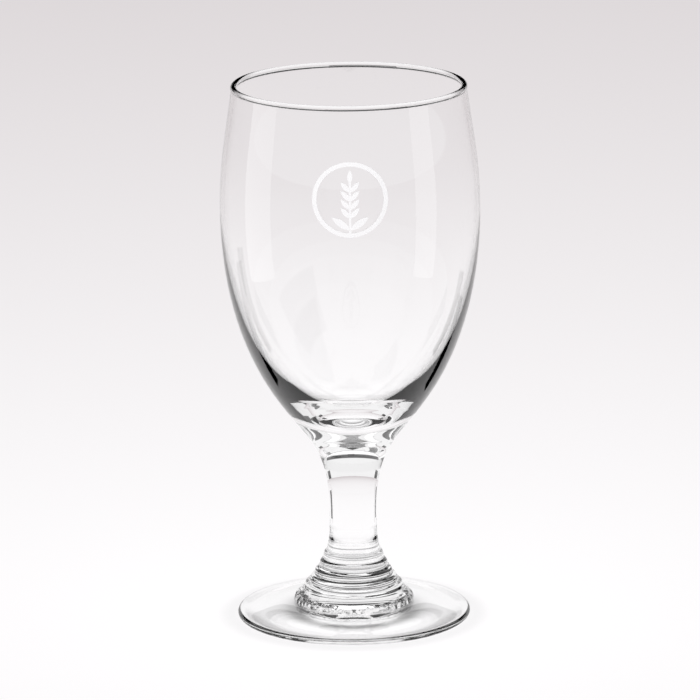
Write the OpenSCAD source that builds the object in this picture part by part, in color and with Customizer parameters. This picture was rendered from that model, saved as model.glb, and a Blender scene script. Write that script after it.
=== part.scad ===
// Stemmed chalice beer glass: a blown bowl, a pressed stem with a ringed collar and a
// pressed foot, fused one on the other, and a white enamel print on the front of the bowl.
// Millimetres, +Z up. The origin is on the table, under the middle of the foot.

/* [Bowl] */
// Height of the glass, table to rim
glass_h = 181; // [170:1:195]
// Outside diameter of the rim
rim_d = 78; // [70:0.1:84]
// Outside diameter at the widest ring of the bowl
belly_d = 86; // [82:0.5:90]
// Distance from the rim down to the widest ring
belly_drop = 41.5; // [37:0.5:46]
// Outside diameter where the bowl turns in towards the stem
heel_d = 38.4; // [36:0.2:42]
// Height of that turn above the table
heel_z = 67; // [64:0.5:70]
// Thickness of the wall from the rim down to the widest ring
wall_t = 1.5; // [1.2:0.1:2.4]
// Height of the inside floor above that turn
floor_rise = 1.6; // [0:0.1:6]

/* [Rim bead] */
// How far the round, fire-polished bead stands out of the wall at each side
bead_bulge = 0.25; // [0.1:0.05:0.5]
// Radius of the hollow under the bead, at each side
bead_hollow_r = 0.4; // [0.2:0.05:0.8]

/* [Stem] */
// Diameter of the fused joint between bowl and stem
neck_d = 21.4; // [19:0.2:26]
// Height of that joint above the table
neck_z = 54; // [50:0.5:58]
// Diameter of the stem at its thinnest
waist_d = 15.8; // [14:0.1:20]
// Height of the thinnest point above the table
waist_z = 33; // [28:0.5:36]

/* [Collar] */
// Diameter of the fused joint between stem and foot
collar_d = 40; // [36:0.2:44]
// Height of that joint above the table
collar_z = 5.2; // [4.5:0.1:6.5]
// Radius of the rounded bottom edge of the collar
collar_edge_r = 2.6; // [1.5:0.1:4]
// Plain band, along the flare, between that rounded edge and the lowest groove
ring_gap = 3.5; // [2:0.1:4.5]
// Number of moulded rings on the collar
ring_count = 5; // [3:1:6]
// Width of one ring, along the flare
ring_pitch = 3; // [2:0.1:3.2]
// Depth of the grooves between the rings
ring_depth = 0.4; // [0.1:0.05:0.7]

/* [Foot] */
// Diameter of the foot
foot_d = 78; // [70:0.5:86]
// Thickness of the foot at its rounded edge
foot_edge_t = 2; // [1.6:0.1:3]
// Width of the flat ring that the glass stands on
rest_w = 2; // [1.2:0.1:5]
// Height of the hollow under the stem
kick_h = 2.4; // [1:0.1:3.2]

/* [Print] */
// Distance from the rim down to the middle of the printed badge
print_drop = 30; // [26:0.5:35]
// Diameter of the badge's ring
badge_d = 24.5; // [20:0.5:27]
// Width of the ring's line
badge_line_w = 1.4; // [0.8:0.1:2]
// Thickness of the fired enamel
print_t = 0.1; // [0.05:0.01:0.3]
// Number of grain pairs on the barley ear
grain_pairs = 4; // [3:1:5]
// Length of one barley grain
grain_l = 4.4; // [3:0.1:5.5]
// Width of one barley grain
grain_w = 1.6; // [1:0.1:2.2]
// Width of the stalk
stalk_w = 0.7; // [0.4:0.05:1.2]
// Length of the two leaves
leaf_l = 7.2; // [5:0.1:9]
// Width of the two leaves
leaf_w = 2.2; // [1.4:0.1:3]

/* [Hidden] */

// Straight steps in each curve of an outline
curve_steps = 16;
// Straight steps in each moulded ring
ring_steps = 6;
// Fineness of round shapes
$fn = 128;

glass_tint = [0.85, 0.91, 0.92, 0.45];
enamel_white = [0.97, 0.97, 0.98];

// Angles that the outside leans outwards by, going up, where its curves meet
rim_lean = -7;
heel_lean = 36;
neck_lean = 20;
collar_lean = -45;

// Pull of the two ends of each curve, as shares of the curve's rise
bowl_base_shares = [0.45, 0.2];
bowl_low_shares = [0.1, 0.63];
bowl_high_shares = [0.41, 0.36];
stem_shares = [0.65, 0.2];
flare_shares = [0.46, 0.22];
// Pull of the inside curve at the widest ring, and its flat floor as a share of the inside radius
inside_fall_share = 0.58;
inside_floor_share = 0.5;
// Pull of the foot's top and hollow underside at their outer and inner ends, as shares of their widths
foot_shares = [0.35, 0.45];

// Where the lowest and highest grain pairs and the leaves grow out of the stalk, as shares of the
// badge's radius up from its middle
ear_shares = [-0.48, 0.2];
leaf_share = -0.8;
// Lean of the grains and the leaves out of the stalk
grain_lean = 42;
leaf_lean = 55;

// Bead on the wall's middle line, the hollow at each side of it, and the two ends of the plain wall
wall_up = [sin(rim_lean), cos(rim_lean)];
wall_out = [cos(rim_lean), -sin(rim_lean)];
bead_r = wall_t / 2 + bead_bulge;
bead_c = [rim_d / 2 - bead_r, glass_h - bead_r];
bead_to_hollow = bead_r + bead_hollow_r;
hollow_side = wall_t / 2 + bead_hollow_r;
hollow_drop = sqrt(bead_to_hollow^2 - hollow_side^2);
hollow_turn = acos(hollow_side / bead_to_hollow);
wall_end = bead_c - hollow_drop * wall_up;
rim_out = wall_end + wall_t / 2 * wall_out;
rim_in = wall_end - wall_t / 2 * wall_out;
belly_z = glass_h - belly_drop;
belly = [belly_d / 2, belly_z];
belly_in = belly - [wall_t, 0];
heel = [heel_d / 2, heel_z];
neck = [neck_d / 2, neck_z];
waist = [waist_d / 2, waist_z];
collar = [collar_d / 2, collar_z];
floor_z = heel_z + floor_rise;
floor_c = [0, floor_z];
foot_edge_r = foot_edge_t / 2;
foot_edge_c = [foot_d / 2 - foot_edge_r, foot_edge_r];
kick_edge = [collar.x, kick_h];
rest_in = [foot_edge_c.x - rest_w, 0];
print_z = glass_h - print_drop;
badge_r = badge_d / 2;
ear_low = ear_shares[0] * badge_r;
ear_pitch = (ear_shares[1] - ear_shares[0]) * badge_r / (grain_pairs - 1);
ear_tip = ear_low + grain_pairs * ear_pitch;

// Top of the collar's rounded edge, where the flare runs into it
flare_foot = collar + collar_edge_r * [cos(collar_lean) - 1, -sin(collar_lean)];
rings_end = ring_gap + ring_count * ring_pitch;
ring_step = ring_pitch / ring_steps;

// Points of a cubic curve from a to d, pulled towards b and c
function cubic(a, b, c, d, steps = curve_steps) =
  [for (i = [0:steps]) let (t = i / steps, s = 1 - t)
    s^3 * a + 3 * s^2 * t * b + 3 * s * t^2 * c + t^3 * d];

// Points of an arc round c, from one angle to another
function arc(c, r, from, to, steps = curve_steps) =
  [for (i = [0:steps]) let (a = from + (to - from) * i / steps) c + r * [cos(a), sin(a)]];

// Rising curve between two points of the outside that lean out by given angles there
function rise(a, b, lean_a, lean_b, shares, steps = curve_steps) =
  let (h = b.y - a.y)
  cubic(a, a + shares[0] * h * [tan(lean_a), 1], b - shares[1] * h * [tan(lean_b), 1], b, steps);

function reversed(points) = [for (i = [len(points) - 1:-1:0]) points[i]];
function after_first(points) = [for (i = [1:len(points) - 1]) points[i]];

// Length of a line of points up to each of them
function runs(points) =
  [for (i = 0, run = 0; i < len(points);
        run = run + (i + 1 < len(points) ? norm(points[i + 1] - points[i]) : 0), i = i + 1) run];

// Point of a line of points at a length along it
function at_run(points, lengths, run) =
  [for (axis = [0, 1]) lookup(run, [for (i = [0:len(points) - 1]) [lengths[i], points[i][axis]]])];

// Unit vector square to a line of points at a length along it, on its right side
function square_at(points, lengths, run) =
  let (ahead = at_run(points, lengths, run + ring_step) - at_run(points, lengths, run - ring_step))
  [ahead.y, -ahead.x] / norm(ahead);

// Stand-out of the rings at a length along the flare: rounded beads with a groove between each two
function ring_bulge(run) = ring_depth * abs(sin(180 * (run - ring_gap) / ring_pitch));

function bowl_side() = concat(
  rise(heel, belly, heel_lean, 0, bowl_low_shares),
  after_first(rise(belly, rim_out, 0, rim_lean, bowl_high_shares)));

function bowl_outside() = concat(
  rise(neck, heel, neck_lean, heel_lean, bowl_base_shares),
  after_first(bowl_side()));

// Outer hollow, bead, inner hollow
function bowl_rim() =
  let (outer = wall_end + hollow_side * wall_out,
       inner = wall_end - hollow_side * wall_out)
  concat(
    after_first(arc(outer, bead_hollow_r, 180 - rim_lean, 180 - rim_lean - hollow_turn, ring_steps)),
    after_first(arc(bead_c, bead_r, -rim_lean - hollow_turn, 180 - rim_lean + hollow_turn)),
    after_first(arc(inner, bead_hollow_r, hollow_turn - rim_lean, -rim_lean, ring_steps)));

function bowl_inside() = concat(
  after_first(reversed(rise(belly_in, rim_in, 0, rim_lean, bowl_high_shares))),
  after_first(cubic(
    belly_in,
    belly_in - [0, inside_fall_share * (belly_z - floor_z)],
    floor_c + [inside_floor_share * belly_in.x, 0],
    floor_c)));

// Ringed flare from the collar's edge up to the waist
function flare() =
  let (smooth = rise(flare_foot, waist, collar_lean, 0, flare_shares, 2 * curve_steps),
       lengths = runs(smooth),
       last = len(smooth) - 1)
  concat(
    [for (i = [0:last]) if (lengths[i] < ring_gap - ring_step) smooth[i]],
    [for (i = [0:ring_count * ring_steps]) let (run = ring_gap + i * ring_step)
      at_run(smooth, lengths, run) + ring_bulge(run) * square_at(smooth, lengths, run)],
    [for (i = [0:last]) if (lengths[i] > rings_end + ring_step) smooth[i]]);

function stem_side() = concat(
  arc(collar - [collar_edge_r, 0], collar_edge_r, 0, -collar_lean, ring_steps),
  after_first(flare()),
  after_first(rise(waist, neck, 0, neck_lean, stem_shares)));

module bowl() {
  color(glass_tint)
    rotate_extrude()
      polygon(concat(bowl_outside(), bowl_rim(), bowl_inside(), [[0, neck_z]]));
}

module stem() {
  color(glass_tint)
    rotate_extrude()
      polygon(concat([[0, collar_z]], stem_side(), [[0, neck_z]]));
}

module foot() {
  top_edge = foot_edge_c + [0, foot_edge_r];
  top_w = top_edge.x - collar.x;
  top = cubic(
    top_edge,
    top_edge - [foot_shares[0] * top_w, 0],
    collar + [foot_shares[1] * top_w, 0],
    collar);
  hollow_w = rest_in.x - kick_edge.x;
  hollow = cubic(
    kick_edge,
    kick_edge + [foot_shares[1] * hollow_w, 0],
    rest_in - [foot_shares[0] * hollow_w, 0],
    rest_in);
  color(glass_tint)
    rotate_extrude()
      polygon(concat(
        [[0, kick_h]],
        hollow,
        arc(foot_edge_c, foot_edge_r, -90, 90),
        after_first(top),
        [[0, collar_z]]));
}

// Flat outline pointed at both ends, standing on the origin along +Y
module lens(l, w) {
  side_r = (l^2 + w^2) / (4 * w);
  intersection_for (side = [-1, 1])
    translate([side * (side_r - w / 2), l / 2])
      circle(r = side_r);
}

// Ear of barley on a stalk with two leaves, the middle of the badge at the origin
module barley() {
  for (pair = [0:grain_pairs - 1], side = [-1, 1])
    translate([0, ear_low + pair * ear_pitch])
      rotate(-side * grain_lean)
        lens(grain_l, grain_w);
  translate([0, ear_tip])
    lens(grain_l, grain_w);
  for (side = [-1, 1])
    translate([0, leaf_share * badge_r])
      rotate(-side * leaf_lean)
        lens(leaf_l, leaf_w);
  translate([-stalk_w / 2, badge_line_w / 2 - badge_r])
    square([stalk_w, ear_tip + grain_l / 2 + badge_r - badge_line_w / 2]);
}

// Flat outline of the whole print
module badge() {
  difference() {
    circle(r = badge_r);
    circle(r = badge_r - badge_line_w);
  }
  barley();
}

// Skin of enamel on the bowl, cut to the badge as seen from the front
module printed_badge() {
  wall = bowl_side();
  color(enamel_white)
    intersection() {
      rotate_extrude()
        polygon(concat(wall, reversed([for (p = wall) p + [print_t, 0]])));
      translate([0, 0, print_z])
        rotate([90, 0, 0])
          linear_extrude(belly_d)
            badge();
    }
}

bowl();
stem();
foot();
printed_badge();
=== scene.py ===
"""Stemmed chalice beer glass: a blown bowl, a pressed stem and a pressed foot, welded into one
piece of clear glass, with a badge of fired white enamel on the front of the bowl."""

import math

import bpy
import numpy as np
from bpy.props import FloatProperty, FloatVectorProperty, IntProperty, PointerProperty
from mathutils import Matrix, Vector


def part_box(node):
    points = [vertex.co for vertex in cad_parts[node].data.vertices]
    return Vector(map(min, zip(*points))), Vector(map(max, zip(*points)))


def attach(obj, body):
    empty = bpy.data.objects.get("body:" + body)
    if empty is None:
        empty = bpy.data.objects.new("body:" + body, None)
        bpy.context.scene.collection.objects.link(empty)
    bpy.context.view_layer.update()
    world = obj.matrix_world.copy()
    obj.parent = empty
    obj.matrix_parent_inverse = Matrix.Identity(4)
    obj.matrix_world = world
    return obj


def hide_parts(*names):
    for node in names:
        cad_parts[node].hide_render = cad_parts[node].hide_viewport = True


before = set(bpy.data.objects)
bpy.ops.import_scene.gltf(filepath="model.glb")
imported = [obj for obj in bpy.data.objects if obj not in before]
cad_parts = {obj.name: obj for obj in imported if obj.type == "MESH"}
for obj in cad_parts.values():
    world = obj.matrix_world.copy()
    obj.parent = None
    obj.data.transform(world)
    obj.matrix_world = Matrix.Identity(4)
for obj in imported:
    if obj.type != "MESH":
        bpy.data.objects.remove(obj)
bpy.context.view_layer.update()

bl_info = {
    "name": "Stemmed chalice beer glass",
    "version": (1, 0, 0),
    "blender": (4, 5, 0),
    "location": "3D View > Sidebar > Chalice",
    "description": "Builds a stemmed chalice beer glass and a pale studio round it",
    "category": "Object",
}

MM = 0.001


def reach(node):
    """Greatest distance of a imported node's points from the axis of the glass."""
    points = np.empty(len(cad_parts[node].data.vertices) * 3, np.float32)
    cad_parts[node].data.vertices.foreach_get("co", points)
    points = points.reshape(-1, 3)
    return float(np.hypot(points[:, 0], points[:, 1]).max())


def linear(hex_colour):
    """Linear RGB of an sRGB colour written as six hex digits."""
    srgb = np.array([int(hex_colour[k : k + 2], 16) / 255 for k in (0, 2, 4)])
    low = srgb / 12.92
    high = ((srgb + 0.055) / 1.055) ** 2.4
    return tuple(float(c) for c in np.where(srgb <= 0.04045, low, high))


BOWL_LOW, BOWL_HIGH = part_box("bowl")
STEM_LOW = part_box("stem")[0]
BADGE_LOW, BADGE_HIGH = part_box("printed_badge")


def length(name, description, default):
    """A length setting in metres."""
    return FloatProperty(
        name=name, description=description, default=default, unit="LENGTH", precision=5
    )


def share(name, description, default):
    """A plain number setting, most often a share of another size."""
    return FloatProperty(name=name, description=description, default=default, precision=4)


def lean(name, description, degrees):
    """An angle setting, given in degrees and held in radians."""
    return FloatProperty(
        name=name, description=description, default=math.radians(degrees), unit="ROTATION"
    )


def colour(name, description, hex_colour):
    """A colour setting, given as sRGB hex and held as linear RGB."""
    return FloatVectorProperty(
        name=name,
        description=description,
        default=linear(hex_colour),
        subtype="COLOR",
        size=3,
        min=0,
        max=1,
    )


class ChaliceSizes(bpy.types.PropertyGroup):
    """Sizes of the glass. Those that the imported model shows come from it."""

    glass_height: length("Height", "Table to rim", BOWL_HIGH.z)
    belly_radius: length("Belly radius", "Outside radius at the widest ring", reach("bowl"))
    belly_drop: length("Belly drop", "Rim down to the widest ring", 41.5 * MM)
    rim_radius: length("Rim radius", "Outside radius of the rim bead", 39 * MM)
    rim_lean: lean("Rim lean", "Lean of the wall under the rim, outwards going up", -7)
    wall: length("Wall", "Thickness of the wall above the widest ring", 1.5 * MM)
    bead_bulge: length(
        "Bead bulge", "How far the rim's round bead stands out of the wall at each side", 0.25 * MM
    )
    bead_hollow: length("Bead hollow", "Radius of the hollow under the bead", 0.4 * MM)
    heel_radius: length("Heel radius", "Outside radius where the bowl turns in to the stem", 19.2 * MM)
    heel_height: length("Heel height", "Height of that turn", 67 * MM)
    heel_lean: lean("Heel lean", "Lean of the outside there", 36)
    floor_rise: length("Floor rise", "Inside floor above that turn", 1.6 * MM)
    fall_share: share("Inside fall", "Pull of the inside curve at the belly, of its height", 0.58)
    floor_share: share("Inside floor", "Pull of the inside curve at the floor, of its radius", 0.5)
    neck_radius: length("Neck radius", "Radius of the joint of bowl and stem", 10.7 * MM)
    neck_height: length("Neck height", "Height of that joint", BOWL_LOW.z)
    neck_lean: lean("Neck lean", "Lean of the outside there", 20)
    waist_radius: length("Waist radius", "Radius of the stem at its thinnest", 7.9 * MM)
    waist_height: length("Waist height", "Height of the thinnest point", 33 * MM)
    collar_radius: length("Collar radius", "Radius of the joint of stem and foot", reach("stem"))
    collar_height: length("Collar height", "Height of that joint", STEM_LOW.z)
    collar_edge: length("Collar edge", "Radius of the collar's rounded bottom edge", 2.6 * MM)
    collar_lean: lean("Collar lean", "Lean of the flare above that edge", -45)
    ring_gap: length("Ring gap", "Plain band under the lowest groove", 3.5 * MM)
    ring_pitch: length("Ring pitch", "Width of one moulded ring", 3.0 * MM)
    ring_depth: length("Ring depth", "Depth of the grooves between the rings", 0.4 * MM)
    ring_count: IntProperty(name="Rings", description="Number of moulded rings", default=5, min=0)
    foot_radius: length("Foot radius", "Radius of the foot", reach("foot"))
    foot_edge: length("Foot edge", "Thickness of the foot at its edge", 2.0 * MM)
    rest_width: length("Rest width", "Width of the flat ring that the glass stands on", 2.0 * MM)
    kick_height: length("Kick height", "Height of the hollow under the foot", 2.4 * MM)
    badge_radius: length(
        "Badge radius", "Radius of the printed ring", (BADGE_HIGH.z - BADGE_LOW.z) / 2
    )
    badge_height: length(
        "Badge height", "Height of the badge's middle", (BADGE_HIGH.z + BADGE_LOW.z) / 2
    )
    badge_line: length("Badge line", "Width of the printed ring's line", 1.4 * MM)
    enamel: length("Enamel", "Thickness of the fired enamel", 0.1 * MM)
    grain_length: length("Grain length", "Length of one barley grain", 4.4 * MM)
    grain_width: length("Grain width", "Width of one barley grain", 1.6 * MM)
    grain_pairs: IntProperty(
        name="Grain pairs", description="Pairs of grains on the ear", default=4, min=2
    )
    stalk_width: length("Stalk width", "Width of the stalk", 0.7 * MM)
    leaf_length: length("Leaf length", "Length of the two leaves", 7.2 * MM)
    leaf_width: length("Leaf width", "Width of the two leaves", 2.2 * MM)


class ChaliceFinish(bpy.types.PropertyGroup):
    """Colours of the glass, the print and the studio."""

    glass: colour("Glass", "Clear glass", "ffffff")
    enamel: colour("Enamel", "Fired white enamel", "f4f4f5")
    floor_near: colour("Floor near", "Glow of the floor under the glass", "fefdfe")
    floor_far: colour("Floor far", "Glow of the floor far away", "c4bcbe")


# Pull of the two ends of each outside curve, as shares of the curve's rise
BOWL_BASE_SHARES = (0.45, 0.2)
BOWL_LOW_SHARES = (0.1, 0.63)
BOWL_HIGH_SHARES = (0.41, 0.36)
STEM_SHARES = (0.65, 0.2)
FLARE_SHARES = (0.46, 0.22)
# Pull of the foot's top at its edge and its collar, as shares of its width
FOOT_TOP_SHARES = (0.35, 0.45)

# Steps along an outline curve, along the ringed flare, along small round edges, across flat faces
# and round the axis
CURVE_STEPS = 48
FLARE_STEPS = 150
EDGE_STEPS = 16
CAP_STEPS = 3
TURN_STEPS = 256
# Heights that differ by less than this, in metres, are the same height
SAME_HEIGHT = 1e-7


def cubic(start, start_pull, end_pull, end, steps=CURVE_STEPS):
    """Cubic curve: s^3 a + 3 s^2 t b + 3 s t^2 c + t^3 d, with t from 0 to 1 and s = 1 - t."""
    t = np.linspace(0, 1, steps + 1)[:, None]
    s = 1 - t
    return (
        s**3 * np.array(start)
        + 3 * s**2 * t * np.array(start_pull)
        + 3 * s * t**2 * np.array(end_pull)
        + t**3 * np.array(end)
    )


def rise(start, end, start_lean, end_lean, shares, steps=CURVE_STEPS):
    """Rising cubic curve that leans outwards by the two angles where it starts and ends."""
    start, end = np.array(start), np.array(end)
    height = end[1] - start[1]
    start_pull = start + shares[0] * height * np.array([math.tan(start_lean), 1])
    end_pull = end - shares[1] * height * np.array([math.tan(end_lean), 1])
    return cubic(start, start_pull, end_pull, end, steps)


def arc(centre, radius, start, end, steps=EDGE_STEPS):
    """Arc round a centre: centre + radius (cos a, sin a), with a between two angles."""
    a = np.linspace(start, end, steps + 1)
    return np.array(centre) + radius * np.stack([np.cos(a), np.sin(a)], axis=1)


def straight(start, end, steps=CAP_STEPS):
    """Straight line of evenly spaced points."""
    t = np.linspace(0, 1, steps + 1)[:, None]
    return (1 - t) * np.array(start) + t * np.array(end)


def joined(*curves):
    """One list of points from curves that each start where the one before ends."""
    return np.concatenate([curves[0], *(curve[1:] for curve in curves[1:])])


def rim_points(s):
    """Radius and centre of the rim bead, which sits on the wall's middle line, the wall's end under
    it, and the wall's direction square outwards."""
    bead = s.wall / 2 + s.bead_bulge
    centre = np.array([s.rim_radius - bead, s.glass_height - bead])
    up = np.array([math.sin(s.rim_lean), math.cos(s.rim_lean)])
    drop = math.sqrt((bead + s.bead_hollow) ** 2 - (s.wall / 2 + s.bead_hollow) ** 2)
    return bead, centre, centre - drop * up, np.array([up[1], -up[0]])


def bowl_side(s):
    """Outside of the bowl from the heel up to the foot of the rim bead."""
    belly = (s.belly_radius, s.glass_height - s.belly_drop)
    _, _, wall_end, out = rim_points(s)
    return joined(
        rise((s.heel_radius, s.heel_height), belly, s.heel_lean, 0, BOWL_LOW_SHARES),
        rise(belly, wall_end + s.wall / 2 * out, 0, s.rim_lean, BOWL_HIGH_SHARES),
    )


def bowl_outline(s):
    """Outline of the bowl: joint with the stem, outside, rim bead with a hollow at each side,
    inside, floor."""
    neck = (s.neck_radius, s.neck_height)
    heel = (s.heel_radius, s.heel_height)
    bead, centre, wall_end, out = rim_points(s)
    aside = s.wall / 2 + s.bead_hollow
    meeting = math.acos(aside / (bead + s.bead_hollow))
    belly_height = s.glass_height - s.belly_drop
    belly_in = np.array([s.belly_radius - s.wall, belly_height])
    floor = np.array([0, s.heel_height + s.floor_rise])
    fall = np.array([0, s.fall_share * (belly_height - floor[1])])
    flat = np.array([s.floor_share * belly_in[0], 0])
    tip = -s.rim_lean
    return joined(
        straight((0, s.neck_height), neck),
        rise(neck, heel, s.neck_lean, s.heel_lean, BOWL_BASE_SHARES),
        bowl_side(s),
        arc(wall_end + aside * out, s.bead_hollow, tip + math.pi, tip + math.pi - meeting),
        arc(centre, bead, tip - meeting, tip + math.pi + meeting, EDGE_STEPS * 2),
        arc(wall_end - aside * out, s.bead_hollow, tip + meeting, tip),
        rise(belly_in, wall_end - s.wall / 2 * out, 0, s.rim_lean, BOWL_HIGH_SHARES)[::-1],
        cubic(belly_in, belly_in - fall, floor + flat, floor, CURVE_STEPS * 2),
    )


def stem_outline(s):
    """Outline of the stem: joint with the foot, rounded edge, ringed flare, shaft, joint with the
    bowl. Along the flare each ring swells by ring_depth |sin(pi h)| square to the surface, with h the
    length along the flare past the gap, in ring pitches."""
    collar = np.array([s.collar_radius, s.collar_height])
    waist = (s.waist_radius, s.waist_height)
    neck = (s.neck_radius, s.neck_height)
    edge = arc(collar - np.array([s.collar_edge, 0]), s.collar_edge, 0, -s.collar_lean)
    flare = rise(edge[-1], waist, s.collar_lean, 0, FLARE_SHARES, FLARE_STEPS)
    ahead = np.gradient(flare, axis=0)
    step = np.linalg.norm(ahead, axis=1)
    square = np.stack([ahead[:, 1], -ahead[:, 0]], axis=1) / step[:, None]
    run = np.concatenate([[0], np.cumsum(np.linalg.norm(np.diff(flare, axis=0), axis=1))])
    rings = (run - s.ring_gap) / s.ring_pitch
    ringed = (rings > 0) & (rings < s.ring_count)
    swell = np.where(ringed, s.ring_depth * np.abs(np.sin(np.pi * rings)), 0)
    flare = flare + swell[:, None] * square
    return joined(
        straight((0, s.collar_height), collar),
        edge,
        flare,
        rise(waist, neck, 0, s.neck_lean, STEM_SHARES),
        straight(neck, (0, s.neck_height)),
    )


def foot_outline(s):
    """Outline of the foot: hollow underside, which keeps an even distance below the top, flat ring,
    rounded edge, top, joint with the stem."""
    collar = np.array([s.collar_radius, s.collar_height])
    edge = s.foot_edge / 2
    edge_centre = np.array([s.foot_radius - edge, edge])
    rest = np.array([edge_centre[0] - s.rest_width, 0])
    kick = np.array([s.collar_radius, s.kick_height])
    top = edge_centre + np.array([0, edge])
    across = np.array([1, 0])
    top_width = top[0] - collar[0]
    rest_width = rest[0] - collar[0]
    return joined(
        straight((0, s.kick_height), kick),
        cubic(
            kick,
            kick + FOOT_TOP_SHARES[1] * rest_width * across,
            rest - FOOT_TOP_SHARES[0] * rest_width * across,
            rest,
        ),
        straight(rest, edge_centre - np.array([0, edge])),
        arc(edge_centre, edge, -math.pi / 2, math.pi / 2),
        cubic(
            top,
            top - FOOT_TOP_SHARES[0] * top_width * across,
            collar + FOOT_TOP_SHARES[1] * top_width * across,
            collar,
        ),
        straight(collar, (0, s.collar_height)),
    )


def turned(name, outline, joints, materials):
    """Closed surface of revolution: point (i, j) is (r cos a, r sin a, z), with (r, z) the outline's
    point i and a the turn's step j. The outline's two ends are on the axis and become poles. Bands
    of the flat joints, whose heights are given, take the second material."""
    rows = outline[1:-1]
    turn = np.arange(TURN_STEPS) * (2 * math.pi / TURN_STEPS)
    ring = np.stack([np.cos(turn), np.sin(turn)], axis=1)
    points = np.empty((len(rows), TURN_STEPS, 3))
    points[..., :2] = rows[:, 0, None, None] * ring
    points[..., 2] = rows[:, 1, None]
    poles = np.array([[0, 0, outline[0, 1]], [0, 0, outline[-1, 1]]])
    verts = np.concatenate([points.reshape(-1, 3), poles])

    step = np.arange(TURN_STEPS)
    following = (step + 1) % TURN_STEPS
    first = np.arange(len(rows) - 1)[:, None] * TURN_STEPS
    quads = np.stack(
        [
            first + step,
            first + following,
            first + following + TURN_STEPS,
            first + step + TURN_STEPS,
        ],
        axis=2,
    ).reshape(-1, 4)
    low_pole, high_pole = len(verts) - 2, len(verts) - 1
    last = (len(rows) - 1) * TURN_STEPS
    low_fan = np.stack([np.full(TURN_STEPS, low_pole), following, step], axis=1)
    high_fan = np.stack([np.full(TURN_STEPS, high_pole), last + step, last + following], axis=1)

    mesh = bpy.data.meshes.new(name)
    mesh.from_pydata(verts, [], quads.tolist() + low_fan.tolist() + high_fan.tolist())
    heights = np.array(joints)
    flat_row = np.isclose(outline[:, 1, None], heights, rtol=0, atol=SAME_HEIGHT).any(axis=1)
    flat_band = flat_row[:-1] & flat_row[1:]
    band_slot = flat_band.astype(np.int32)
    slots = np.concatenate(
        [
            np.repeat(band_slot[1:-1], TURN_STEPS),
            np.full(TURN_STEPS, band_slot[0]),
            np.full(TURN_STEPS, band_slot[-1]),
        ]
    )
    mesh.polygons.foreach_set("material_index", slots)
    mesh.polygons.foreach_set("use_smooth", np.ones(len(slots), bool))
    sharp_rows = np.flatnonzero(flat_band[:-1] != flat_band[1:])
    mark_sharp(mesh, sharp_rows)
    return placed(name, mesh, materials)


def mark_sharp(mesh, rows):
    """Marks the edges round some rows of a turned mesh as sharp."""
    ends = np.empty(len(mesh.edges) * 2, np.int32)
    mesh.edges.foreach_get("vertices", ends)
    ends = ends.reshape(-1, 2)
    row = ends // TURN_STEPS
    along = (row[:, 0] == row[:, 1]) & np.isin(row[:, 0], rows)
    sharp = mesh.attributes.new("sharp_edge", "BOOLEAN", "EDGE")
    sharp.data.foreach_set("value", along)


def placed(name, mesh, materials):
    """Object of a finished mesh, riding on the glass's one body."""
    mesh.validate()
    mesh.update()
    for material in materials:
        mesh.materials.append(material)
    piece = bpy.data.objects.new(name, mesh)
    bpy.context.scene.collection.objects.link(piece)
    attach(piece, "root")
    return piece


def add_node(tree, kind, inputs=None, **settings):
    """Adds a node with its settings; an input takes a value, or a socket to link from."""
    node = tree.nodes.new(kind)
    for key, value in settings.items():
        setattr(node, key, value)
    for key, value in (inputs or {}).items():
        if isinstance(value, bpy.types.NodeSocket):
            tree.links.new(value, node.inputs[key])
        else:
            node.inputs[key].default_value = value
    return node


def new_material(name):
    """Empty node material and its node tree."""
    material = bpy.data.materials.new(name)
    material.use_nodes = True
    material.node_tree.nodes.clear()
    return material, material.node_tree


SODA_LIME_IOR = 1.52
# Slow waves of the glass's skin: how far apart they are in blown and in pressed glass, their depth,
# and the detail and roughness of their noise
BLOWN_WAVE = 30 * MM
PRESSED_WAVE = 12 * MM
WAVE_DEPTH = 0.004 * MM
WAVE_DETAIL = 1.0
WAVE_ROUGHNESS = 0.4
# Mould seam round the bottom of the stem's collar: its top over the joint with the foot, the height
# over which it fades, the size of its puckers, their depth, drawn deeper than the real one so that
# they show, and the detail of their noise
SEAM_TOP = 2.6 * MM
SEAM_FADE = 1.2 * MM
SEAM_PUCKER = 3.0 * MM
SEAM_DEPTH = 3.0 * MM
SEAM_DETAIL = 1.0


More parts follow.
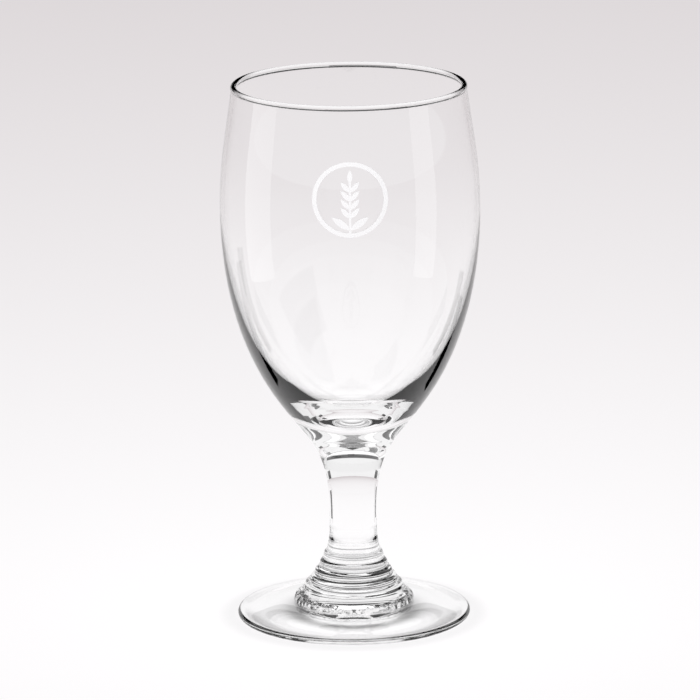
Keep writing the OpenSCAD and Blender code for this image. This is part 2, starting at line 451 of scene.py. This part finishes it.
def clear_glass(name, wave, seam_top=None):
    """Soda-lime glass: clear, with a polished skin whose slow waves, that far apart, bend what is
    seen through it a little, as in any glass that was shaped hot. Below a seam's top, where one is
    given, the skin is crinkled, because the mould's two parts met there."""
    material, tree = new_material(name)
    finish = bpy.context.scene.chalice_finish
    place = add_node(tree, "ShaderNodeTexCoord").outputs["Object"]
    waves = add_node(
        tree,
        "ShaderNodeTexNoise",
        {"Vector": place, "Scale": 1 / wave, "Detail": WAVE_DETAIL, "Roughness": WAVE_ROUGHNESS},
    )
    skin = add_node(
        tree,
        "ShaderNodeBump",
        {"Height": waves.outputs["Fac"], "Strength": 1.0, "Distance": WAVE_DEPTH},
    )
    if seam_top is not None:
        height = add_node(tree, "ShaderNodeSeparateXYZ", {"Vector": place}).outputs["Z"]
        near = add_node(
            tree,
            "ShaderNodeMapRange",
            {"Value": height, "From Min": seam_top, "From Max": seam_top - SEAM_FADE},
            interpolation_type="SMOOTHSTEP",
        )
        puckers = add_node(
            tree,
            "ShaderNodeTexNoise",
            {"Vector": place, "Scale": 1 / SEAM_PUCKER, "Detail": SEAM_DETAIL},
        )
        crinkle = add_node(
            tree,
            "ShaderNodeMath",
            {0: puckers.outputs["Fac"], 1: near.outputs["Result"]},
            operation="MULTIPLY",
        )
        skin = add_node(
            tree,
            "ShaderNodeBump",
            {
                "Height": crinkle.outputs["Value"],
                "Distance": SEAM_DEPTH,
                "Normal": skin.outputs["Normal"],
            },
        )
    glass = add_node(
        tree,
        "ShaderNodeBsdfPrincipled",
        {
            "Base Color": (*finish.glass, 1),
            "Roughness": 0.0,
            "IOR": SODA_LIME_IOR,
            "Transmission Weight": 1.0,
            "Normal": skin.outputs["Normal"],
        },
    )
    add_node(tree, "ShaderNodeOutputMaterial", {"Surface": glass.outputs["BSDF"]})
    return material


def welded_joint():
    """Inside of a hot weld: glass runs on through it, so it shows nothing."""
    material, tree = new_material("glass_weld")
    clear = add_node(tree, "ShaderNodeBsdfTransparent")
    add_node(tree, "ShaderNodeOutputMaterial", {"Surface": clear.outputs["BSDF"]})
    return material


def shared(name, make):
    """Material of that name, made at its first use."""
    return bpy.data.materials.get(name) or make()


class CHALICE_OT_bowl(bpy.types.Operator):
    """Blown bowl with its fire-polished rim"""

    bl_idname = "chalice.bowl"
    bl_label = "Blown bowl"

    def execute(self, context):
        s = context.scene.chalice_sizes
        glass = clear_glass("soda_lime_glass_blown", BLOWN_WAVE)
        weld = shared("glass_weld", welded_joint)
        bowl = turned("blown_bowl", bowl_outline(s), [s.neck_height], [glass, weld])
        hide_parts("bowl")
        return {"FINISHED"}


class CHALICE_OT_stem(bpy.types.Operator):
    """Pressed stem with its ringed collar"""

    bl_idname = "chalice.stem"
    bl_label = "Pressed stem"

    def execute(self, context):
        s = context.scene.chalice_sizes
        seam_top = s.collar_height + SEAM_TOP
        glass = clear_glass("soda_lime_glass_pressed_stem", PRESSED_WAVE, seam_top)
        weld = shared("glass_weld", welded_joint)
        joints = [s.collar_height, s.neck_height]
        stem = turned("pressed_stem", stem_outline(s), joints, [glass, weld])
        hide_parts("stem")
        return {"FINISHED"}


class CHALICE_OT_foot(bpy.types.Operator):
    """Pressed foot with its hollow underside"""

    bl_idname = "chalice.foot"
    bl_label = "Pressed foot"

    def execute(self, context):
        s = context.scene.chalice_sizes
        glass = clear_glass("soda_lime_glass_pressed_foot", PRESSED_WAVE)
        weld = shared("glass_weld", welded_joint)
        foot = turned("pressed_foot", foot_outline(s), [s.collar_height], [glass, weld])
        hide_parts("foot")
        return {"FINISHED"}


# Where the grains and leaves grow out of the stalk, as shares of the badge's radius up from its
# middle, and how far they lean out of it
EAR_SHARES = (-0.48, 0.2)
LEAF_SHARE = -0.8
GRAIN_LEAN = math.radians(42)
LEAF_LEAN = math.radians(55)
# How deep the enamel is fired into the glass, as a share of its thickness
FIRED_SHARE = 0.3
# Thickness of the stalk's enamel, as a share of that of the grains and leaves, which lie over it
STALK_ENAMEL_SHARE = 0.8
# How far the stalk runs up into the grain at its tip, as a share of the grain's length
STALK_TIP_SHARE = 0.25
# Steps along and across the grains and leaves, the ring and the stalk
LENS_STEPS = (24, 6)
RING_STEPS = (160, 4)
STALK_STEPS = (40, 2)
# Least half width of a pointed shape, as a share of its full width
TIP_SHARE = 0.02


def lens(length_, width, foot, turn):
    """Flat pointed shape: points (w, h) with h along its length and w across it by shares from -1 to
    1 of a half width sqrt(R^2 - (h - l/2)^2) - (R - w/2), where both sides are arcs of radius
    R = (l^2 + w^2) / (4 w); then turned clockwise and moved to its foot."""
    side = (length_**2 + width**2) / (4 * width)
    h = np.linspace(0, length_, LENS_STEPS[0] + 1)[:, None]
    across = np.linspace(-1, 1, LENS_STEPS[1] + 1)[None, :]
    half = np.sqrt(side**2 - (h - length_ / 2) ** 2) - (side - width / 2)
    half = np.maximum(half, TIP_SHARE * width)
    u = half * across
    v = np.broadcast_to(h, u.shape)
    c, n = math.cos(turn), math.sin(turn)
    return np.stack([foot[0] + c * u + n * v, foot[1] - n * u + c * v], axis=2)


def ring_band(radius, width):
    """Flat ring: points r (cos a, sin a), with a right round and r across the line."""
    a = np.linspace(0, 2 * math.pi, RING_STEPS[0] + 1)[:, None]
    r = np.linspace(radius - width, radius, RING_STEPS[1] + 1)[None, :]
    return np.stack([r * np.cos(a), r * np.sin(a)], axis=2)


def strip(width, low, high):
    """Flat upright strip about the middle line."""
    v = np.linspace(low, high, STALK_STEPS[0] + 1)[:, None]
    u = np.linspace(-width / 2, width / 2, STALK_STEPS[1] + 1)[None, :]
    u, v = np.broadcast_arrays(u, v)
    return np.stack([u, v], axis=2)


def enamel_skin(flat, s, thickness, closed_round=False):
    """Closed skin over a grid of flat points (u, v) carried straight back onto the front of the bowl:
    x = u, z = badge height + v, y = -sqrt(r(z)^2 - u^2) with r the wall's radius plus a depth, which
    is the thickness for the outer sheet and a little below the glass for the inner one."""
    side = bowl_side(s)
    u, v = flat[..., 0], flat[..., 1]
    height = s.badge_height + v
    wall = np.interp(height, side[:, 1], side[:, 0])

    def sheet(depth):
        return np.stack([u, -np.sqrt((wall + depth) ** 2 - u**2), height], axis=2).reshape(-1, 3)

    rows, columns = u.shape
    if closed_round:
        rows -= 1
    outer, inner = (sheet(d)[: rows * columns] for d in (thickness, -FIRED_SHARE * thickness))
    verts = np.concatenate([outer, inner])
    index = np.arange(rows * columns).reshape(rows, columns)
    grid = np.concatenate([index, index[:1]]) if closed_round else index
    a, b, c, d = grid[:-1, :-1], grid[:-1, 1:], grid[1:, 1:], grid[1:, :-1]
    front = np.stack([a, b, c, d], axis=2).reshape(-1, 4)
    back = front[:, ::-1] + rows * columns
    if closed_round:
        loops = [grid[::-1, 0], grid[:, -1]]
    else:
        loops = [np.concatenate([grid[:-1, -1], grid[-1, :0:-1], grid[:0:-1, 0], grid[0]])]
    walls = []
    for loop in loops:
        p, q = loop[:-1], loop[1:]
        walls.append(np.stack([q, p, p + rows * columns, q + rows * columns], axis=1))
    return verts, np.concatenate([front, back, *walls])


# Fired enamel: size of its patches of thinner cover, the detail of their noise and their shade as a
# share of the white, then the grain left by the screen, its detail, depth and strength, and the
# roughness at thin and at full cover
COVER_PATCH = 3 * MM
COVER_DETAIL = 3.0
COVER_SHADE = 0.97
SCREEN_GRAIN = 0.25 * MM
SCREEN_DETAIL = 2.0
SCREEN_DEPTH = 0.01 * MM
SCREEN_STRENGTH = 0.4
ENAMEL_ROUGHNESS = (0.3, 0.42)
ENAMEL_IOR = 1.5


def fired_enamel():
    """Screen-printed glass enamel, fired on: opaque white ground glass and pigment with a soft gloss,
    a faint grain from the screen and slightly uneven cover."""
    material, tree = new_material("fired_white_enamel")
    finish = bpy.context.scene.chalice_finish
    place = add_node(tree, "ShaderNodeTexCoord").outputs["Object"]
    cover = add_node(
        tree,
        "ShaderNodeTexNoise",
        {"Vector": place, "Scale": 1 / COVER_PATCH, "Detail": COVER_DETAIL},
    )
    white = np.array(finish.enamel)
    tone = add_node(
        tree,
        "ShaderNodeMix",
        {"Factor": cover.outputs["Fac"], "A": (*(white * COVER_SHADE), 1), "B": (*white, 1)},
        data_type="RGBA",
    )
    grain = add_node(
        tree,
        "ShaderNodeTexNoise",
        {"Vector": place, "Scale": 1 / SCREEN_GRAIN, "Detail": SCREEN_DETAIL},
    )
    skin = add_node(
        tree,
        "ShaderNodeBump",
        {"Height": grain.outputs["Fac"], "Strength": SCREEN_STRENGTH, "Distance": SCREEN_DEPTH},
    )
    thin, full = ENAMEL_ROUGHNESS
    gloss = add_node(
        tree,
        "ShaderNodeMapRange",
        {"Value": cover.outputs["Fac"], "To Min": thin, "To Max": full},
    )
    enamel = add_node(
        tree,
        "ShaderNodeBsdfPrincipled",
        {
            "Base Color": tone.outputs["Result"],
            "Roughness": gloss.outputs["Result"],
            "IOR": ENAMEL_IOR,
            "Normal": skin.outputs["Normal"],
        },
    )
    add_node(tree, "ShaderNodeOutputMaterial", {"Surface": enamel.outputs["BSDF"]})
    return material


class CHALICE_OT_badge(bpy.types.Operator):
    """Printed badge: a ring with an ear of barley"""

    bl_idname = "chalice.badge"
    bl_label = "Printed badge"

    def execute(self, context):
        s = context.scene.chalice_sizes
        radius = s.badge_radius
        low, high = (share_ * radius for share_ in EAR_SHARES)
        feet = np.linspace(low, high, s.grain_pairs)
        tip = high + (high - low) / (s.grain_pairs - 1)
        shapes = [(ring_band(radius, s.badge_line), True)]
        for side in (-1, 1):
            for foot in feet:
                grain = lens(s.grain_length, s.grain_width, (0, foot), side * GRAIN_LEAN)
                shapes.append((grain, False))
            leaf = lens(s.leaf_length, s.leaf_width, (0, LEAF_SHARE * radius), side * LEAF_LEAN)
            shapes.append((leaf, False))
        shapes.append((lens(s.grain_length, s.grain_width, (0, tip), 0), False))
        stalk_top = tip + STALK_TIP_SHARE * s.grain_length
        stalk = strip(s.stalk_width, s.badge_line / 2 - radius, stalk_top)
        skins = [enamel_skin(flat, s, s.enamel, closed) for flat, closed in shapes]
        skins.append(enamel_skin(stalk, s, s.enamel * STALK_ENAMEL_SHARE))
        verts, faces, count = [], [], 0
        for skin_verts, skin_faces in skins:
            verts.append(skin_verts)
            faces.append(skin_faces + count)
            count += len(skin_verts)
        mesh = bpy.data.meshes.new("enamel_badge")
        mesh.from_pydata(np.concatenate(verts), [], np.concatenate(faces).tolist())
        badge = placed("enamel_badge", mesh, [fired_enamel()])
        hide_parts("printed_badge")
        return {"FINISHED"}


# Camera of the photograph, found from the ellipses of the rim and the foot: its distance from the
# axis and its height, the point that it aims at, its roll in radians, and its focal length and the
# picture's width in pixels
CAMERA_BACK = 1722 * MM
CAMERA_HEIGHT = 517.5 * MM
AIM_SIDE = -0.5 * MM
AIM_HEIGHT = 90.8 * MM
CAMERA_ROLL = -0.0102
FOCAL_PIXELS = 5338.6
PICTURE_PIXELS = 700
SENSOR_MM = 36

# Radius of the floor in metres, and the number of its sides
FLOOR_RADIUS = 12.0
FLOOR_SIDES = 64
# The floor lies this far under the rest ring, because a real glass never touches its table all over
FLOOR_GAP = 0.05 * MM
# Light of the floor falls off as exp(-distance / reach) away from the glass
FLOOR_REACH = 0.98
# How much of the room's light its matt top gives back
FLOOR_PAPER = 0.06
# Soft rings of painted shadow in the floor's glow, under the collar and round the foot: radius, width
# and depth of each
PAINTED_SHADOW_RINGS = {
    "painted shadow under the collar": (18 * MM, 5 * MM, 0.7),
    "painted shadow round the foot": (41 * MM, 4 * MM, 0.1),
}


def studio_floor():
    """White acrylic light table: glows white under the glass and slowly greyer away from it. Each soft
    ring of painted shadow multiplies the glow by 1 - depth exp(-q^2), with q = (distance - radius) /
    width."""
    material, tree = new_material("white_acrylic_light_table")
    finish = bpy.context.scene.chalice_finish
    place = add_node(tree, "ShaderNodeTexCoord").outputs["Object"]
    away = add_node(tree, "ShaderNodeVectorMath", {0: place}, operation="LENGTH").outputs["Value"]
    fall = add_node(tree, "ShaderNodeMath", {0: away, 1: -FLOOR_REACH}, operation="DIVIDE")
    near = add_node(tree, "ShaderNodeMath", {0: fall.outputs["Value"]}, operation="EXPONENT")
    tone = add_node(
        tree,
        "ShaderNodeMix",
        {
            "Factor": near.outputs["Value"],
            "A": (*finish.floor_far, 1),
            "B": (*finish.floor_near, 1),
        },
        data_type="RGBA",
    )
    strength = 1.0
    # Painted shadow: each ring darkens the floor's glow, in place of a shadow that the glass would
    # cast
    for radius, width, depth in PAINTED_SHADOW_RINGS.values():
        off = add_node(tree, "ShaderNodeMath", {0: away, 1: radius}, operation="SUBTRACT").outputs[0]
        q = add_node(tree, "ShaderNodeMath", {0: off, 1: width}, operation="DIVIDE").outputs[0]
        square = add_node(tree, "ShaderNodeMath", {0: q, 1: q}, operation="MULTIPLY").outputs[0]
        minus = add_node(tree, "ShaderNodeMath", {0: square, 1: -1.0}, operation="MULTIPLY").outputs[0]
        painted_shadow = add_node(tree, "ShaderNodeMath", {0: minus}, operation="EXPONENT").outputs[0]
        left = add_node(
            tree, "ShaderNodeMath", {0: painted_shadow, 1: -depth, 2: 1.0}, operation="MULTIPLY_ADD"
        ).outputs[0]
        shaded = add_node(tree, "ShaderNodeMath", {0: strength, 1: left}, operation="MULTIPLY")
        strength = shaded.outputs[0]
    glow = add_node(
        tree, "ShaderNodeEmission", {"Color": tone.outputs["Result"], "Strength": strength}
    ).outputs["Emission"]
    paper = (FLOOR_PAPER, FLOOR_PAPER, FLOOR_PAPER, 1)
    top = add_node(tree, "ShaderNodeBsdfDiffuse", {"Color": paper}).outputs["BSDF"]
    both = add_node(tree, "ShaderNodeAddShader", {0: glow, 1: top})
    add_node(tree, "ShaderNodeOutputMaterial", {"Surface": both.outputs["Shader"]})
    return material


# Height of the cards that lie on the table
ON_TABLE = 0.5 * MM
# Cards that stand or lie round the glass, which the camera doesn't see: the turns of their two sides
# from straight behind the glass, in degrees, the distances of their lower and upper edges from its
# axis and the heights of these edges, in metres, and the glow of the white ones
CARDS = {
    "left_softbox": ((-110, -80), (0.33, 0.33), (0, 0.42), 1.8),
    "right_softbox": ((103, 124), (0.33, 0.33), (0, 0.2), 1.8),
    "rim_flag": ((-53, 53), (0.25, 0.25), (0.194, 0.3), 0),
    "rim_dash": ((-2, 5), (0.25, 0.25), (0.165, 0.194), 0),
    "left_flag": ((-68, -58), (0.115, 0.42), (ON_TABLE, ON_TABLE), 0),
    "right_flag": ((50, 60), (0.115, 0.3), (ON_TABLE, ON_TABLE), 0),
}


CARD_BLACK = "0c0c0d"
# Light that has passed more faces of glass than this has crossed the hollow bowl, whose two walls
# have two faces each
HOLLOW_FACES = 3.5


def card_cloth(glow):
    """Cloth of a softbox with that glow, or matt black card where there is none. The black card shows
    in reflections and through solid glass: light that has crossed the hollow bowl passes it by."""
    material, tree = new_material("softbox_cloth" if glow else "matt_black_card")
    if glow:
        white = add_node(tree, "ShaderNodeEmission", {"Color": (1, 1, 1, 1), "Strength": glow})
        cloth = white.outputs["Emission"]
    else:
        faces = add_node(tree, "ShaderNodeLightPath").outputs["Transmission Depth"]
        across = add_node(
            tree, "ShaderNodeMath", {0: faces, 1: HOLLOW_FACES}, operation="GREATER_THAN"
        ).outputs["Value"]
        black = add_node(tree, "ShaderNodeBsdfDiffuse", {"Color": (*linear(CARD_BLACK), 1)})
        black = black.outputs["BSDF"]
        clear = add_node(tree, "ShaderNodeBsdfTransparent").outputs["BSDF"]
        card = add_node(tree, "ShaderNodeMixShader", {0: across, 1: black, 2: clear})
        cloth = card.outputs["Shader"]
    add_node(tree, "ShaderNodeOutputMaterial", {"Surface": cloth})
    return material


def studio_cards(scene):
    """Softboxes at the sides, seen in reflections alone, which draw the pale strips down the bowl, a
    black flag close behind the rim with a small one under it, which draw the rim's dark lines, and
    two black flags lying on the table, which draw those along the stem and the lower bowl."""
    for name, (turns, away, heights, glow) in CARDS.items():
        turn = np.radians([turns[0], turns[1], turns[1], turns[0]])
        reach_ = np.repeat(away, 2)
        corners = np.stack(
            [reach_ * np.sin(turn), reach_ * np.cos(turn), np.repeat(heights, 2)], axis=1
        )
        mesh = bpy.data.meshes.new(name)
        mesh.from_pydata(corners, [], [(0, 1, 2, 3)])
        mesh.materials.append(card_cloth(glow))
        card = bpy.data.objects.new(name, mesh)
        scene.collection.objects.link(card)
        card.visible_camera = False
        card.visible_diffuse = False
        card.visible_shadow = False
        card.visible_transmission = not glow


# Lamp for the print: its width in metres, its watts and its place
PRINT_LAMP_WIDTH = 0.8
PRINT_LAMP_WATTS = 3.8
PRINT_LAMP_PLACE = (0, -1.0, 0.9)


def print_light(scene):
    """Soft lamp in front and above that lights the enamel. It shows neither in the glass nor through
    it."""
    lamp = bpy.data.lights.new("print_light", "AREA")
    lamp.size = PRINT_LAMP_WIDTH
    lamp.energy = PRINT_LAMP_WATTS
    light = bpy.data.objects.new("print_light", lamp)
    scene.collection.objects.link(light)
    place = Vector(PRINT_LAMP_PLACE)
    turn = (-place).to_track_quat("-Z", "Y")
    light.matrix_world = Matrix.Translation(place) @ turn.to_matrix().to_4x4()
    light.visible_glossy = False
    light.visible_transmission = False


# Light tent: brightness all round and its colour, then panels and gaps in it as turn from straight
# behind the glass, clockwise from above, and height over the horizon, in degrees, with their
# brightness, and the width of their soft edges in degrees
TENT = 0.9
TENT_COLOUR = (1, 0.995, 1, 1)
PANELS = {
    "front left fill": ((-180, -112), (12, 60), 1.1),
    "front right fill": ((112, 180), (12, 60), 1.1),
    "over backdrop": ((-45, 45), (20, 29), 0.03),
    "back softbox": ((-45, 45), (32, 56), 1.4),
    "left gap": ((-100, -55), (38, 64), 0.03),
    "right gap": ((88, 140), (14, 44), 0.12),
    "top gap": ((-45, 45), (64, 90), 0.05),
    "left backdrop edge": ((-56, -43), (-4, 10), 0.02),
    "right backdrop edge": ((43, 56), (-4, 10), 0.02),
}
PANEL_SOFT = 1.5


def studio_world():
    """White light tent with brighter panels, and with dark gaps that draw the glass's dark edges. A
    panel's share is the product of four soft steps, one at each of its edges, and each panel is mixed
    by its share into what the ones before it left."""
    world = bpy.data.worlds.new("light_tent")
    bpy.context.scene.world = world
    world.use_nodes = True
    tree = world.node_tree
    tree.nodes.clear()
    way = add_node(tree, "ShaderNodeTexCoord").outputs["Generated"]
    parts = add_node(tree, "ShaderNodeSeparateXYZ", {"Vector": way}).outputs
    turn = add_node(tree, "ShaderNodeMath", {0: parts["X"], 1: parts["Y"]}, operation="ARCTAN2")
    turn = add_node(tree, "ShaderNodeMath", {0: turn.outputs["Value"]}, operation="DEGREES")
    turn = turn.outputs["Value"]
    height = add_node(tree, "ShaderNodeMath", {0: parts["Z"]}, operation="ARCSINE")
    height = add_node(tree, "ShaderNodeMath", {0: height.outputs["Value"]}, operation="DEGREES")
    height = height.outputs["Value"]
    glow = TENT
    for turns, heights, brightness in PANELS.values():
        inside = None
        for value, (low, high) in ((turn, turns), (height, heights)):
            for edge, direction in ((low, 1), (high, -1)):
                soft = direction * PANEL_SOFT / 2
                step = add_node(
                    tree,
                    "ShaderNodeMapRange",
                    {"Value": value, "From Min": edge - soft, "From Max": edge + soft},
                    interpolation_type="SMOOTHSTEP",
                ).outputs["Result"]
                if inside is None:
                    inside = step
                else:
                    both = add_node(tree, "ShaderNodeMath", {0: inside, 1: step}, operation="MULTIPLY")
                    inside = both.outputs["Value"]
        mixed = add_node(
            tree, "ShaderNodeMix", {"Factor": inside, "A": glow, "B": brightness}, data_type="FLOAT"
        )
        glow = mixed.outputs["Result"]
    light = add_node(tree, "ShaderNodeBackground", {"Color": TENT_COLOUR, "Strength": glow})
    add_node(tree, "ShaderNodeOutputWorld", {"Surface": light.outputs["Background"]})


class CHALICE_OT_stage(bpy.types.Operator):
    """Pale floor, cards, lamp, light tent and camera"""

    bl_idname = "chalice.stage"
    bl_label = "Studio"

    def execute(self, context):
        mesh = bpy.data.meshes.new("studio_floor")
        a = np.linspace(0, 2 * math.pi, FLOOR_SIDES, endpoint=False)
        low = np.full_like(a, -FLOOR_GAP)
        ring = np.stack([FLOOR_RADIUS * np.cos(a), FLOOR_RADIUS * np.sin(a), low], axis=1)
        mesh.from_pydata(ring, [], [list(range(len(ring)))])
        mesh.materials.append(studio_floor())
        floor = bpy.data.objects.new("studio_floor", mesh)
        context.scene.collection.objects.link(floor)
        studio_cards(context.scene)
        print_light(context.scene)
        studio_world()

        lens_data = bpy.data.cameras.new("photo_camera")
        lens_data.sensor_width = SENSOR_MM
        lens_data.lens = FOCAL_PIXELS / PICTURE_PIXELS * SENSOR_MM
        camera = bpy.data.objects.new("photo_camera", lens_data)
        context.scene.collection.objects.link(camera)
        place = Vector((0, -CAMERA_BACK, CAMERA_HEIGHT))
        ahead = (Vector((AIM_SIDE, 0, AIM_HEIGHT)) - place).normalized()
        right = ahead.cross(Vector((0, 0, 1))).normalized()
        up = right.cross(ahead)
        turned_right = math.cos(CAMERA_ROLL) * right + math.sin(CAMERA_ROLL) * up
        turned_up = math.cos(CAMERA_ROLL) * up - math.sin(CAMERA_ROLL) * right
        axes = Matrix((turned_right, turned_up, -ahead)).transposed()
        camera.matrix_world = Matrix.Translation(place) @ axes.to_4x4()
        context.scene.camera = camera
        context.scene.view_settings.view_transform = "Standard"
        return {"FINISHED"}


class CHALICE_PT_panel(bpy.types.Panel):
    """Lists the steps that build the glass and its studio"""

    bl_idname = "CHALICE_PT_panel"
    bl_label = "Chalice beer glass"
    bl_space_type = "VIEW_3D"
    bl_region_type = "UI"
    bl_category = "Chalice"

    def draw(self, context):
        for step in STEPS:
            self.layout.operator(step.bl_idname)


STEPS = (CHALICE_OT_bowl, CHALICE_OT_stem, CHALICE_OT_foot, CHALICE_OT_badge, CHALICE_OT_stage)
CLASSES = (ChaliceSizes, ChaliceFinish, *STEPS, CHALICE_PT_panel)


def register():
    """Registers the settings, the steps and the panel."""
    for cls in CLASSES:
        bpy.utils.register_class(cls)
    bpy.types.Scene.chalice_sizes = PointerProperty(type=ChaliceSizes)
    bpy.types.Scene.chalice_finish = PointerProperty(type=ChaliceFinish)


def unregister():
    """Takes them out again."""
    del bpy.types.Scene.chalice_finish
    del bpy.types.Scene.chalice_sizes
    for cls in reversed(CLASSES):
        bpy.utils.unregister_class(cls)


def main():
    """Builds the pieces and the studio in order."""
    register()
    bpy.ops.chalice.bowl()
    bpy.ops.chalice.stem()
    bpy.ops.chalice.foot()
    bpy.ops.chalice.badge()
    bpy.ops.chalice.stage()


if __name__ == "__main__":
    main()
